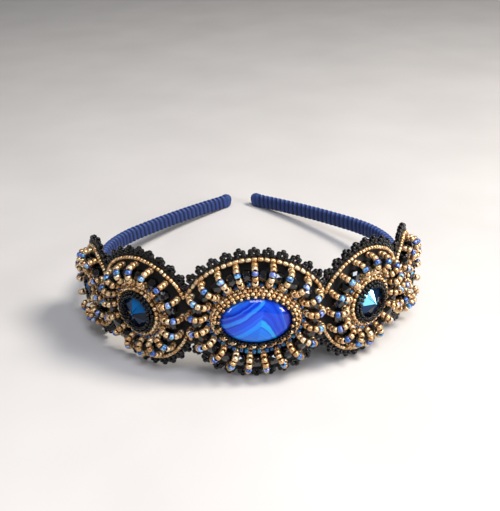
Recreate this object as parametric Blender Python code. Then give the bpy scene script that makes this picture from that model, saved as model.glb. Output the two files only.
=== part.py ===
"""A beaded headband: a cord-wrapped band that carries five beaded medallions on one scalloped backing.

The parts are drawn in the band's own frame: the centre of the front curve is the origin, the front
is at -Y and +Z runs across the band. One empty then tips that frame back, so that the headband rests
as it lies on a table: on the two tips of the band and on the lower edge of the beadwork.

Three numbers place a point on the beadwork: s along the backing from the middle of the front, v
across it, and h out of its face. Around one medallion the same surface is read as rings: a ring lies
some distance d outside the rim of the stone, and t is its angle from the side towards +X.
"""

import math
from collections import namedtuple

import bmesh
import bpy
import numpy as np
from mathutils import Vector

MM = 0.001

# Band: the middle line of its front curve and arms, and the section of the wrapped band
BAND_RADIUS = 59.9 * MM
BAND_TURN = math.radians(124.7)
ARM_RADIUS = 308 * MM
ARM_LENGTH = 66.8 * MM
BAND_HEIGHT = 6.0 * MM
BAND_THICKNESS = 3.8 * MM
BAND_CHAMFER_ACROSS = 1.4 * MM
BAND_CHAMFER_IN = 0.8 * MM
TIP_ROUNDING = 2.4 * MM

# Backing: flat behind each stone and bent between the stones. One row is (length, turn in degrees).
STRIP_FRONT = 63.6 * MM
STRIP_LEAN = math.radians(-5.1)
LEAN_FROM = 52 * MM
LEAN_TO = 72 * MM
STRIP_SECTIONS = (
    (11.0 * MM, 0),
    (24.5 * MM, 38),
    (12.0 * MM, 0),
    (21.0 * MM, 29.5),
    (8.0 * MM, 0),
    (24.0 * MM, 22.5),
)
BACKING_THICKNESS = 1.5 * MM
GAP = 0.3 * MM

# Medallions: place of the centre, half sizes of the stone, then how far outside the stone's rim the
# arches have their crest and the outline row lies, the size of the beads, and the number of arches
Medallion = namedtuple("Medallion", "name s v half_width half_height crest outline bead arches seam_in seam_out")
CENTRE = Medallion("centre", 0.0, 0.0, 12.5 * MM, 9.0 * MM, 10.0 * MM, 12.2 * MM, 1.00, 21, 23.3 * MM, 23.3 * MM)
ROUND = Medallion("round", 41.5 * MM, -0.15 * MM, 7.0 * MM, 7.0 * MM, 9.5 * MM, 12.4 * MM, 0.98, 16, 18.2 * MM, 17.6 * MM)
OUTER = Medallion("outer", 72.5 * MM, -0.3 * MM, 4.0 * MM, 4.0 * MM, 9.6 * MM, 11.6 * MM, 0.94, 12, 13.4 * MM, None)

# Rings of one medallion, for beads of full size: how far out (d), how high (h), and how thick
SMALL_RING_OUT = 3.85 * MM
SMALL_RING_UP = 1.15 * MM
SMALL_RING_RADIUS = 0.85 * MM
FACETED_OUT = 6.9 * MM
FACETED_RADIUS = 2.0 * MM
FACETED_HALF_BELLY = 0.7 * MM
FACETED_HALF_LENGTH = 1.55 * MM
FACETED_THREAD = 0.35 * MM
SEED_RADIUS = 1.05 * MM
ARCH_CREST_OUT = 10.0 * MM
ARCH_SIDES = 5
BEAD_SIDES = 6

# Height of the arch's thread over its distance from the stone, from the foot to the small ring
ARCH_PATH = (
    (10.3 * MM, 0.3 * MM),
    (10.6 * MM, 4.2 * MM),
    (8.4 * MM, 6.0 * MM),
    (6.0 * MM, 4.7 * MM),
    (4.0 * MM, 1.5 * MM),
)

# Section of the woven bezel, and the profile of the polished stone in its middle
BEZEL_SECTION = (
    (2.6 * MM, 0.3 * MM),
    (2.6 * MM, 1.9 * MM),
    (2.0 * MM, 4.0 * MM),
    (0.9 * MM, 4.9 * MM),
    (-0.5 * MM, 4.7 * MM),
    (-0.5 * MM, 4.0 * MM),
    (0.3 * MM, 3.2 * MM),
    (0.3 * MM, 0.3 * MM),
)
BEZEL_SEGMENTS = 20
CABOCHON_GIRDLE = 1.8 * MM
CABOCHON_TOP = 6.7 * MM
CABOCHON_SEGMENTS = 24
CABOCHON_RINGS = 4

# Faceted crystal: a low pyramid in front of the girdle and another behind it
CRYSTAL_FACETS = 8
CRYSTAL_TABLE = 0.05
CRYSTAL_STAR = 0.62
CRYSTAL_CULET = 0.9 * MM
CRYSTAL_GIRDLE = 3.3 * MM
CRYSTAL_TOP = 6.6 * MM

# Picot edging: a strip of woven beads round the backing, with a pointed picot at each pitch
EDGE_BACKING = 0.8 * MM
EDGE_INNER = 1.1 * MM
EDGE_VALLEY = 2.3 * MM
EDGE_PEAK = 3.7 * MM
EDGE_FRONT = 0.4 * MM
EDGE_BACK = -1.7 * MM
PICOT_PITCH = 4.6 * MM


def medallions():
    """The five medallions from left to right as (medallion, side), where side mirrors the left ones."""
    return [(OUTER, -1), (ROUND, -1), (CENTRE, 1), (ROUND, 1), (OUTER, 1)]


def node_name(medallion, side):
    """A plain name such as left_round."""
    if medallion is CENTRE:
        return medallion.name
    return ("left_" if side < 0 else "right_") + medallion.name


def band_point(s):
    """Middle line of the band at length s from the front: its point and its direction of travel."""
    run = abs(s)
    turn = min(run / BAND_RADIUS, BAND_TURN)
    x = BAND_RADIUS * math.sin(turn)
    y = -BAND_RADIUS * math.cos(turn)
    past = run - BAND_RADIUS * BAND_TURN
    if past > 0:
        heading = BAND_TURN + past / ARM_RADIUS
        x += ARM_RADIUS * (math.sin(heading) - math.sin(BAND_TURN))
        y += ARM_RADIUS * (math.cos(BAND_TURN) - math.cos(heading))
        turn = heading
    side = -1 if s < 0 else 1
    return Vector((side * x, y, 0)), side * turn


def strip_point(s):
    """Face of the backing at length s from the front: its point and its direction of travel."""
    left = abs(s)
    x, y, heading = 0.0, -STRIP_FRONT, 0.0
    for length, degrees in STRIP_SECTIONS:
        step = min(left, length)
        turn = math.radians(degrees) * step / length
        if turn:
            radius = step / turn
            x += radius * (math.sin(heading + turn) - math.sin(heading))
            y += radius * (math.cos(heading) - math.cos(heading + turn))
        else:
            x += step * math.cos(heading)
            y += step * math.sin(heading)
        heading += turn
        left -= step
        if left <= 0:
            break
    side = -1 if s < 0 else 1
    return Vector((side * x, y, 0)), side * heading


def on_strip(s, v, h):
    """The point at length s along the backing, v across it and h out of its face."""
    base, heading = strip_point(s)
    straight = min(max((abs(s) - LEAN_FROM) / (LEAN_TO - LEAN_FROM), 0), 1)
    lean = STRIP_LEAN * (1 - straight)
    out = Vector((math.sin(heading), -math.cos(heading), 0))
    up = Vector((0, 0, 1))
    face = out * math.cos(lean) + up * math.sin(lean)
    across = up * math.cos(lean) - out * math.sin(lean)
    return base + face * h + across * v


def on_ring(medallion, side, d, t, h):
    """The point of a ring d outside the stone's rim, at angle t and height h."""
    u = (medallion.half_width + d) * math.cos(t)
    v = (medallion.half_height + d) * math.sin(t)
    return on_strip(side * (medallion.s + u), medallion.v + v, h)


def even_angles(medallion, d, count, shift=0.0):
    """Angles that share a ring out evenly by length. The first is at the top, moved on by shift shares."""
    t = np.linspace(0, 2 * math.pi, 721) + math.pi / 2
    u = (medallion.half_width + d) * np.cos(t)
    v = (medallion.half_height + d) * np.sin(t)
    run = np.concatenate([[0], np.cumsum(np.hypot(np.diff(u), np.diff(v)))])
    shares = (np.arange(count) + shift) / count * run[-1]
    return [float(a) for a in np.interp(shares, run, t)]


def make_material(name, colour, roughness, metallic=0.0):
    material = bpy.data.materials.new(name)
    material.use_nodes = True
    shader = material.node_tree.nodes["Principled BSDF"]
    shader.inputs["Base Color"].default_value = (*colour, 1)
    shader.inputs["Roughness"].default_value = roughness
    shader.inputs["Metallic"].default_value = metallic
    return material


def make_object(name, points, faces, material, parent, smooth=False):
    """An object from points in the band's frame, with its faces turned outwards."""
    mesh = bpy.data.meshes.new(name)
    mesh.from_pydata([tuple(p) for p in points], [], faces)
    build = bmesh.new()
    build.from_mesh(mesh)
    bmesh.ops.recalc_face_normals(build, faces=build.faces)
    build.to_mesh(mesh)
    build.free()
    if smooth:
        mesh.shade_smooth()
        mesh.set_sharp_from_angle(angle=math.radians(40))
    mesh.materials.append(material)
    made = bpy.data.objects.new(name, mesh)
    bpy.context.scene.collection.objects.link(made)
    made.parent = parent
    return made


def loft(sections, closed, first=0):
    """Faces that join equal rings of points in a row: a closed loop of rings, or a bar with two end faces."""
    rings, size = len(sections), len(sections[0])
    faces = []
    for i in range(rings if closed else rings - 1):
        a = first + i * size
        b = first + (i + 1) % rings * size
        faces += [(a + j, a + (j + 1) % size, b + (j + 1) % size, b + j) for j in range(size)]
    if not closed:
        last = first + (rings - 1) * size
        faces += [tuple(range(first + size - 1, first - 1, -1)), tuple(range(last, last + size))]
    return faces


def circle_section(centre, across, up, radius, sides):
    """A ring of points about a centre, in the plane of two unit vectors."""
    turns = [2 * math.pi * (k + 0.5) / sides for k in range(sides)]
    return [centre + (across * math.cos(a) + up * math.sin(a)) * radius for a in turns]


def flat_points(sections):
    return [point for section in sections for point in section]


def make_band(material, parent):
    """The wrapped band: an eight-sided section with flat inner and outer faces, and rounded tips."""
    half_height, half_thick = BAND_HEIGHT / 2, BAND_THICKNESS / 2
    side, edge = half_height - BAND_CHAMFER_ACROSS, half_thick - BAND_CHAMFER_IN
    section = [
        (half_thick, -side), (half_thick, side), (edge, half_height), (-edge, half_height),
        (-half_thick, side), (-half_thick, -side), (-edge, -half_height), (edge, -half_height),
    ]
    end = BAND_RADIUS * BAND_TURN + ARM_LENGTH
    front = np.linspace(3 * MM, BAND_RADIUS * BAND_TURN, 20)
    arm = np.linspace(BAND_RADIUS * BAND_TURN, end - TIP_ROUNDING, 5)[1:]
    tip = [(end - TIP_ROUNDING * (1 - math.sin(a)), math.cos(a)) for a in (math.radians(45), math.radians(75))]
    half = [(s, 1.0) for s in (*front, *arm)] + tip
    stations = [(-s, size) for s, size in reversed(half)] + half
    sections = []
    for s, size in stations:
        point, heading = band_point(s)
        out = Vector((math.sin(heading), -math.cos(heading), 0))
        sections.append([point + out * a * size + Vector((0, 0, b * size)) for a, b in section])
    return make_object("wrapped_band", flat_points(sections), loft(sections, False), material, parent, True)


def half_arc(medallion, d, seam):
    """The angle at which a ring d outside the stone meets a seam at distance seam from the centre."""
    return math.acos(min(1.0, seam / (medallion.half_width + d)))


def make_backing(material, parent):
    """The scalloped backing: an upright slice at each station, as high as its medallion is there."""
    slices = []
    for medallion, side in ((CENTRE, 1), (ROUND, 1), (OUTER, 1)):
        d = medallion.outline + EDGE_BACKING
        start = math.pi / 2 if medallion is CENTRE else math.pi - half_arc(medallion, d, medallion.seam_in)
        end = math.radians(10) if medallion.seam_out is None else half_arc(medallion, d, medallion.seam_out)
        for t in np.linspace(start, end, 8 if medallion is CENTRE else 11):
            u = (medallion.half_width + d) * math.cos(t)
            v = (medallion.half_height + d) * math.sin(t)
            slices.append((medallion.s + u, medallion.v + v, medallion.v - v))
    slices = merge_seams(slices)
    both = [(-s, top, low) for s, top, low in reversed(slices[1:])] + slices
    sections = []
    for s, top, low in both:
        back = -BACKING_THICKNESS
        sections.append([on_strip(s, low, back), on_strip(s, low, 0), on_strip(s, top, 0), on_strip(s, top, back)])
    return make_object("backing", flat_points(sections), loft(sections, False), material, parent)


def merge_seams(slices):
    """Joins the two slices that meet at each seam into one halfway between them."""
    merged = []
    for row in slices:
        if merged and row[0] - merged[-1][0] < 0.5 * MM:
            merged[-1] = tuple((a + b) / 2 for a, b in zip(merged[-1], row))
        else:
            merged.append(row)
    return merged


def edge_run(medallion, side, from_side, to_side):
    """Angles of the picots' valleys and peaks over one run of the rim, as rows of (fraction, is a peak)."""
    outer = medallion.half_width + medallion.outline + EDGE_VALLEY
    length = outer * abs(to_side - from_side)
    picots = max(2, round(length / PICOT_PITCH))
    return [(i / (2 * picots), i % 2 == 1) for i in range(2 * picots)]


def make_edging(material, parent):
    """The picot edging: one closed strip round the whole backing, whose outer side is a row of points."""
    rim = []
    for medallion, side, upper in rim_order():
        inner = medallion.outline + EDGE_INNER
        valley = medallion.outline + EDGE_VALLEY
        peak = medallion.outline + EDGE_PEAK
        starts, ends = zip(*(run_ends(medallion, side, upper, d) for d in (inner, valley, peak)))
        for share, is_peak in edge_run(medallion, side, starts[1], ends[1]):
            d, row = (peak, 2) if is_peak else (valley, 1)
            t_in = starts[0] + (ends[0] - starts[0]) * share
            t_out = starts[row] + (ends[row] - starts[row]) * share
            rim.append((medallion, side, inner, t_in, d, t_out))
    sections = []
    for medallion, side, inner, t_in, d, t_out in rim:
        sections.append([
            on_ring(medallion, side, inner, t_in, EDGE_BACK),
            on_ring(medallion, side, inner, t_in, EDGE_FRONT),
            on_ring(medallion, side, d, t_out, EDGE_FRONT),
            on_ring(medallion, side, d, t_out, EDGE_BACK),
        ])
    return make_object("picot_edging", flat_points(sections), loft(sections, True), material, parent)


def rim_order():
    """The runs of the rim in order: along the top from left to right, then back along the bottom."""
    row = medallions()
    top = [(m, side, True) for m, side in row]
    bottom = [(m, side, False) for m, side in reversed(row[1:-1])]
    return top + bottom


def run_ends(medallion, side, upper, d):
    """Angles where a run of the rim starts and ends. The outer medallions' runs go round their far end."""
    inwards = half_arc(medallion, d, medallion.seam_in)
    if medallion is OUTER:
        start, end = math.pi + inwards, math.pi - inwards
        return (start - 2 * math.pi, end) if side < 0 else (end, start - 2 * math.pi)
    outwards = half_arc(medallion, d, medallion.seam_out)
    start, end = math.pi - inwards, outwards
    if side < 0:
        start, end = end, start
    return (start, end) if upper else (-end, -start)


def make_bezel(name, medallion, side, material, parent):
    """The woven bezel: its section carried round the stone."""
    turns = [2 * math.pi * i / BEZEL_SEGMENTS for i in range(BEZEL_SEGMENTS)]
    sections = [[on_ring(medallion, side, d, t, h) for d, h in BEZEL_SECTION] for t in turns]
    return make_object(name + "_bezel", flat_points(sections), loft(sections, True), material, parent)


def make_cabochon(name, medallion, side, material, parent):
    """The domed stone: a flat back, an upright girdle and rings of a quarter ellipse up to a pole."""
    rings = [(1.0, GAP), (1.0, CABOCHON_GIRDLE)]
    for i in range(1, CABOCHON_RINGS + 1):
        a = math.radians(90 * i / (CABOCHON_RINGS + 1))
        rings.append((math.cos(a), CABOCHON_GIRDLE + (CABOCHON_TOP - CABOCHON_GIRDLE) * math.sin(a)))
    turns = [2 * math.pi * i / CABOCHON_SEGMENTS for i in range(CABOCHON_SEGMENTS)]
    sections = [
        [on_strip(side * size * medallion.half_width * math.cos(t), size * medallion.half_height * math.sin(t), h)
         for t in turns]
        for size, h in rings
    ]
    points = flat_points(sections)
    pole = len(points)
    points.append(on_strip(0, medallion.v, CABOCHON_TOP))
    faces = loft(sections, False)[:-1]
    last = pole - CABOCHON_SEGMENTS
    faces += [(last + i, last + (i + 1) % CABOCHON_SEGMENTS, pole) for i in range(CABOCHON_SEGMENTS)]
    return make_object(name + "_cabochon", points, faces, material, parent, True)


def make_crystal(name, medallion, side, material, parent):
    """The faceted crystal: table, star facets and girdle facets in front, a ring of facets behind."""
    count = CRYSTAL_FACETS
    radius = medallion.half_width
    middle = side * medallion.s
    scale = radius / ROUND.half_width
    girdle = CRYSTAL_GIRDLE
    top = girdle + (CRYSTAL_TOP - CRYSTAL_GIRDLE) * scale
    culet = girdle - (CRYSTAL_GIRDLE - CRYSTAL_CULET) * scale
    star = top + (girdle - top) * (CRYSTAL_STAR - CRYSTAL_TABLE) / (1 - CRYSTAL_TABLE)

    def ring(size, h, number, shift):
        turns = [2 * math.pi * (i + shift) / number for i in range(number)]
        return [on_strip(middle + size * radius * math.cos(t), medallion.v + size * radius * math.sin(t), h)
                for t in turns]

    table = ring(CRYSTAL_TABLE, top, count, 0)
    kites = ring(CRYSTAL_STAR, star + 0.12 * MM * scale, count, 0.5)
    rim = ring(1.0, girdle, 2 * count, 0)
    below = ring(1.0, girdle - 0.3 * MM, 2 * count, 0)
    points = table + kites + rim + below + [on_strip(middle, medallion.v, culet)]
    faces = [tuple(range(count))]
    for i in range(count):
        after = (i + 1) % count
        kite, kite_before = count + i, count + (i - 1) % count
        edge = [2 * count + (2 * i + k) % (2 * count) for k in range(3)]
        faces += [(i, kite, after), (kite_before, edge[0], kite, i)]
        faces += [(kite, edge[0], edge[1]), (kite, edge[1], edge[2])]
    first, low, bottom = 2 * count, 4 * count, 6 * count
    for i in range(2 * count):
        after = (i + 1) % (2 * count)
        faces += [(first + i, first + after, low + after, low + i), (low + i, low + after, bottom)]
    return make_object(name + "_crystal", points, faces, material, parent)


def make_faceted_beads(name, medallion, side, material, parent):
    """The ring of faceted beads on their thread: a closed loop that swells into one bead between two arches."""
    d = FACETED_OUT * medallion.bead
    radius = FACETED_RADIUS * medallion.bead
    up_middle = radius + GAP
    belly, end = FACETED_HALF_BELLY * medallion.bead, FACETED_HALF_LENGTH * medallion.bead
    profile = ((-end, FACETED_THREAD), (-belly, radius), (belly, radius), (end, FACETED_THREAD))
    sections = []
    for t in even_angles(medallion, d, medallion.arches, 0.5):
        speed = math.hypot((medallion.half_width + d) * math.sin(t), (medallion.half_height + d) * math.cos(t))
        for run, size in profile:
            angle = t + run / speed
            centre = on_ring(medallion, side, d, angle, up_middle)
            across = (on_ring(medallion, side, d + MM, angle, up_middle) - centre).normalized()
            up = (on_ring(medallion, side, d, angle, up_middle + MM) - centre).normalized()
            sections.append(circle_section(centre, across, up, size, BEAD_SIDES))
    return make_object(name + "_faceted_beads", flat_points(sections), loft(sections, True), material, parent)


def arch_room(medallion, t):
    """How far outside the stone the foot of an arch may stand before it crosses the seam to a neighbour."""
    seam = medallion.seam_in if math.cos(t) < 0 else medallion.seam_out
    across = abs(math.cos(t))
    nominal = ARCH_PATH[0][0] * medallion.crest / ARCH_CREST_OUT
    if seam is None or across < 0.2:
        return nominal
    free = (seam - SEED_RADIUS * medallion.bead - GAP) / across - medallion.half_width
    return min(nominal, free)


def arch_points(medallion, t):
    """The arch's thread as rows of (d, h), drawn in where a seam leaves it less room."""
    start = SMALL_RING_OUT * medallion.bead
    nominal = ARCH_PATH[0][0] * medallion.crest / ARCH_CREST_OUT
    squeeze = (arch_room(medallion, t) - start) / (nominal - start)
    rows = []
    for d, h in ARCH_PATH:
        out = d * medallion.crest / ARCH_CREST_OUT
        rows.append((start + (out - start) * squeeze, h))
    return rows


def make_arches(name, medallion, side, material, parent):
    """The arches of seed beads over the faceted ones, as tubes, fused to the ring that they end in."""
    radius = SEED_RADIUS * medallion.bead
    tubes, faces = [], []
    for t in even_angles(medallion, FACETED_OUT * medallion.bead, medallion.arches):
        path = [on_ring(medallion, side, d, t, h) for d, h in arch_points(medallion, t)]
        upright = on_ring(medallion, side, 0, t, MM) - on_ring(medallion, side, 0, t, 0)
        sideways = upright.cross(path[-1] - path[0]).normalized()
        sections = []
        for i, point in enumerate(path):
            before, after = path[max(i - 1, 0)], path[min(i + 1, len(path) - 1)]
            normal = sideways.cross((after - before).normalized())
            if i == 0:
                normal = sideways.cross(upright.normalized())
            sections.append(circle_section(point, sideways, normal, radius, ARCH_SIDES))
        faces += loft(sections, False, len(tubes))
        tubes += flat_points(sections)
    cutter = make_object(name + "_arch_tubes", tubes, faces, material, parent)
    cutter.hide_render = True
    cutter.display_type = "WIRE"

    d = SMALL_RING_OUT * medallion.bead
    height = SMALL_RING_UP * medallion.bead
    sections = []
    for t in even_angles(medallion, d, medallion.arches, 0.5):
        centre = on_ring(medallion, side, d, t, height)
        across = (on_ring(medallion, side, d + MM, t, height) - centre).normalized()
        up = (on_ring(medallion, side, d, t, height + MM) - centre).normalized()
        sections.append(circle_section(centre, across, up, SMALL_RING_RADIUS * medallion.bead, ARCH_SIDES))
    ring = make_object(name + "_arches", flat_points(sections), loft(sections, True), material, parent)
    union = ring.modifiers.new("tubes", "BOOLEAN")
    union.operation = "UNION"
    union.object = cutter
    return ring


def world_points(objects):
    """All points of the finished shapes in the world, modifiers included."""
    graph = bpy.context.evaluated_depsgraph_get()
    found = []
    for thing in objects:
        evaluated = thing.evaluated_get(graph)
        found += [evaluated.matrix_world @ vertex.co for vertex in evaluated.data.vertices]
    return np.array(found)


def stand_on_table(root, parts, band, edging):
    """Tips the headband until the band's tips and the front of the edging touch one level, then moves it
    so that the middle of its footprint is the origin and that level is z = 0."""
    for _ in range(6):
        bpy.context.view_layer.update()
        rear, front = world_points([band]), world_points([edging])
        low_rear = rear[rear[:, 1] > BAND_RADIUS][:, 2].argmin()
        low_front = front[:, 2][np.abs(front[:, 0]) < 8 * MM].argmin()
        a = rear[rear[:, 1] > BAND_RADIUS][low_rear]
        b = front[np.abs(front[:, 0]) < 8 * MM][low_front]
        root.rotation_euler.x -= math.atan2(a[2] - b[2], a[1] - b[1])
    bpy.context.view_layer.update()
    points = world_points(parts)
    low, high = points.min(0), points.max(0)
    root.location = (-(low[0] + high[0]) / 2, -(low[1] + high[1]) / 2, -low[2])


def main():
    for thing in list(bpy.data.objects):
        bpy.data.objects.remove(thing, do_unlink=True)
    root = bpy.data.objects.new("headband", None)
    bpy.context.scene.collection.objects.link(root)

    blue_cord = make_material("blue_cord", (0.03, 0.06, 0.32), 0.75)
    black_felt = make_material("black_felt", (0.012, 0.012, 0.014), 0.9)
    black_glass = make_material("black_glass", (0.01, 0.01, 0.012), 0.15)
    gold_glass = make_material("gold_glass", (0.62, 0.38, 0.13), 0.3, 0.9)
    agate = make_material("blue_agate", (0.03, 0.16, 0.75), 0.1)
    crystal = make_material("blue_crystal", (0.0, 0.12, 0.35), 0.05)

    band = make_band(blue_cord, root)
    edging = make_edging(black_glass, root)
    parts = [band, edging, make_backing(black_felt, root)]
    for medallion, side in medallions():
        name = node_name(medallion, side)
        if medallion is CENTRE:
            parts.append(make_cabochon(name, medallion, side, agate, root))
        else:
            parts.append(make_crystal(name, medallion, side, crystal, root))
        parts.append(make_bezel(name, medallion, side, gold_glass, root))
        parts.append(make_faceted_beads(name, medallion, side, black_glass, root))
        parts.append(make_arches(name, medallion, side, gold_glass, root))
    stand_on_table(root, parts, band, edging)


main()
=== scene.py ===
"""The looks of the beaded headband: every seed bead, the wound cord, the felt and the stones.

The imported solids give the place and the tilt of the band. The beadwork is drawn on the face of a felt
strip that bends round the front of the band. Three numbers place a point there: s along the strip from
the middle of the front, v across it and h out of its face. Round a stone the same face is read as
rings: a ring lies d outside the stone's rim, and t is the angle on it.
"""

import math
from collections import namedtuple

import bpy
import numpy as np
from mathutils import Matrix


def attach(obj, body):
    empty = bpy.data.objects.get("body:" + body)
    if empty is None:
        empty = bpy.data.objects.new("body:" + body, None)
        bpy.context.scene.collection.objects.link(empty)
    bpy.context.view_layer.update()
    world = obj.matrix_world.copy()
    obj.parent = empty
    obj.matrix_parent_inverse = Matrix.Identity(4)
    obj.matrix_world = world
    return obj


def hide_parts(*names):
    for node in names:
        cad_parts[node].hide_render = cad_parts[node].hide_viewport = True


MM = 0.001
RANDOM = np.random.default_rng(11)

# Band: the middle line of its front curve and of each arm, as (length, turn in degrees), and its section
BAND_RADIUS = 59.9 * MM
BAND_TURN = 124.7
ARM_LENGTH = 66.8 * MM
ARM_TURN = 12.43
BAND_PATH = ((BAND_RADIUS * math.radians(BAND_TURN), BAND_TURN), (ARM_LENGTH, ARM_TURN))
BAND_LENGTH = sum(length for length, turn in BAND_PATH)
BAND_HEIGHT = 6.0 * MM
BAND_THICKNESS = 3.8 * MM
BAND_END_ROUND = 3.2 * MM

# Cord wound on the band: spacing of its turns, how deep the grooves are, how far the row of knots and the
# fat wrapped ends stand out, and the length and tone of the smooth cap at each end. Then how much painted
# light the ridges and the knots get, which leaves the grooves dark as painted shade. The section is a
# circle made squarer by a power
CORD_PITCH = 2.8 * MM
CORD_RELIEF = 0.65 * MM
CORD_PROUD = 0.15 * MM
CORD_GIRTH = 18 * MM
KNOT_RELIEF = 0.45 * MM
KNOT_PLACE = math.radians(105)
KNOT_WIDTH_POWER = 9
KNOT_SHIFT = 0.9
END_SWELL = 0.22
END_SWELL_LENGTH = 4 * MM
CORD_CAP = 5.5 * MM
CORD_CAP_POWER = 6
CAP_TONE = 0.85
RIDGE_PAINTED_LIGHT = 0.85
KNOT_PAINTED_HIGHLIGHT = 0.5
STRAND_SPACING = 0.6 * MM
STRAND_SLANT = math.radians(28)
SQUARE_POWER = 0.66
RINGS_FOR_A_TURN = 10
CORD_SIDES = 36

# Felt strip: flat behind each stone and bent between them, leaning forward at the front. Its path is
# rows of (length, turn in degrees), and its mesh has so many stations and rows across
STRIP_FRONT = 63.6 * MM
STRIP_LEAN = math.radians(-5.1)
LEAN_FROM = 52 * MM
LEAN_TO = 72 * MM
STRIP_PATH = (
    (11.0 * MM, 0), (24.5 * MM, 38), (12.0 * MM, 0), (21.0 * MM, 29.5), (8.0 * MM, 0), (24.0 * MM, 22.5),
)
FELT_THICKNESS = 1.5 * MM
FELT_MARGIN = 0.8 * MM
FELT_END = 2 * MM
FELT_STATIONS = 281
FELT_END_STATIONS = 12
FELT_ROWS = 15

# Medallions: place and half sizes of the stone, how far the arches reach compared with the middle one's
# and how far the lowest ones hang down, the outline's distance from the stone, the number of arches,
# the size of the beads compared with the middle one's, and the distance of the seams to the neighbours.
# Then a distance beyond every seam, what the outline row keeps off a seam, and the steps that a ring is
# measured in
Medallion = namedtuple(
    "Medallion", "name s v half_width half_height reach sag outline arches bead seam_in seam_out"
)
CENTRE = Medallion(
    "centre", 0.0, 0.0, 12.5 * MM, 9.0 * MM, 1.0, 0.9 * MM, 12.2 * MM, 21, 1.0, 23.3 * MM, 23.3 * MM
)
ROUND = Medallion(
    "round", 41.5 * MM, -0.15 * MM, 7.0 * MM, 7.0 * MM, 0.95, 0.3 * MM, 12.4 * MM, 16, 0.98, 18.2 * MM,
    17.6 * MM,
)
OUTER = Medallion(
    "outer", 72.5 * MM, -0.3 * MM, 4.0 * MM, 4.0 * MM, 0.96, 0.0, 11.6 * MM, 12, 0.94, 13.4 * MM, None
)
PLACES = ((OUTER, -1), (ROUND, -1), (CENTRE, 1), (ROUND, 1), (OUTER, 1))
NO_SEAM = 1.0
SEAM_SPARE = 0.5 * MM
RING_STEPS = 1441

# Seed beads: half of the width across the hole and half of the length along it, those of the outline
# rows in mm for each kind of medallion. Their section is turned about the hole and has rows of (share of
# the half width, share of the half length, how deep in the hole). Then the room that a bead takes in a
# woven and in a strung row, and how far beads differ in tilt, place, width and length
ARCH_SEED = np.array([1.16, 0.88]) * MM
WALL_SEED = np.array([0.84, 0.70]) * MM
RIM_SEED = np.array([0.60, 0.48]) * MM
OUTLINE_SEED = {"centre": (0.78, 1.02), "round": (0.70, 0.68), "outer": (0.68, 0.64)}
EDGE_SEED = np.array([1.0, 0.76]) * MM
FOOT_SEED = np.array([0.98, 0.72]) * MM
SEED_SECTION = (
    (0.38, -0.66, 1.0), (0.64, -1.0, 0.45), (0.93, -0.66, 0.0), (1.0, 0.0, 0.0),
    (0.93, 0.66, 0.0), (0.64, 1.0, 0.45), (0.38, 0.66, 1.0),
)
SEED_SIDES = 9
WOVEN_ROOM = 1.02
STRUNG_ROOM = 1.03
TILT_SPREAD = 0.07
PLACE_SPREAD = 0.045 * MM
WIDTH_SPREAD = 0.035
LENGTH_SPREAD = 0.06

# Fire-polished beads: the ring that they stand on, as (distance from the stone's rim, height), their
# radius and how far it differs, and their rings of corners as (share of the radius along the hole, share
# across it, turn in half facets)
CUT_RING = (6.9 * MM, 2.3 * MM)
CUT_RADIUS = 2.12 * MM
CUT_SPREAD = 0.02
CUT_SIDES = 8
CUT_FLAT = math.cos(math.pi / CUT_SIDES)
CUT_RINGS = ((0.90, 0.36, 1), (0.56, CUT_FLAT, 1), (0.0, 1.0, 0), (-0.56, CUT_FLAT, 1), (-0.90, 0.36, 1))

# Arch: the distance of each of its beads from the stone's rim, and their heights, outer foot first, and
# which one is blue. Under the arches lies a ring of foot beads: one between each two arches above the
# stone and two below it, from where the sine of the angle on the ring falls under a limit. The outline
# row's distance is counted from the outline, and the middle one stops below another such limit
ARCH_BEADS = np.array([
    (10.3, 0.75), (10.45, 2.45), (10.0, 4.1), (8.8, 5.25), (7.1, 5.65), (5.4, 5.15), (4.4, 3.6), (4.15, 1.8),
]) * MM
BLUE_BEAD = 3
ARCH_INNER = 3.85 * MM
ARCH_SPARE = 0.25 * MM
LEAST_ACROSS = 0.2
FOOT_RING = (3.3 * MM, 1.9 * MM)
FOOT_SHARES = (0.3, 0.7)
FOOT_PAIRS_BELOW = 0.1
OUTLINE_RING = (-0.35 * MM, 0.85 * MM)
OUTLINE_STOPS = -0.45

# Bezel rows, as (distance from the stone's rim, height) of the wall of gold beads and then of the rim of
# small black ones. Each row leans further over the stone than the one before, and RIM_SCALE says how
# large the small beads are. Round the middle stone some beads are black: every second bead of a wall's
# row, as painted shade in the gaps between the gold beads, and every bead of the rim's row, where the
# sine of the angle on the ring is below the row's limit. Above it the rim's row is gold and black in turn,
# the black ones painted shade in the gaps
BEZELS = {
    "centre": (((2.3, 1.05), (2.3, 2.3), (1.8, 3.45), (0.9, 4.25)), ((-0.05, 4.7),)),
    "round": (((2.1, 1.2), (2.1, 2.4), (1.45, 3.6)), ((0.2, 4.4), (-0.85, 4.85))),
    "outer": (((1.9, 1.2), (1.8, 2.5), (1.0, 3.7)), ((0.1, 4.35),)),
}
WALL_LEAN = math.radians(16)
RIM_SCALE = {"centre": 1.0, "round": 1.25, "outer": 1.1}
MIXED_BELOW = (-1.0, -0.4, -0.4, -0.1, -0.3)
GOLD_WOBBLE = 0.7
JET_WOBBLE = 1.1

# Edging: the width of a picot, the ring outside the outline and the steps that it is measured in, and the
# rows of beads as (distance outside the outline in mm, height in mm, where along a picot its beads are,
# whether their holes point outwards)
PICOT_PITCH = 4.5 * MM
PICOT_RING = 1 * MM
PICOT_STEPS = 400
PICOT_ROWS = (
    (0.75, -0.55, (0.25, 0.75), True), (1.85, -0.62, (0.28, 0.72), True), (2.6, -0.65, (0.5,), False),
)

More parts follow.
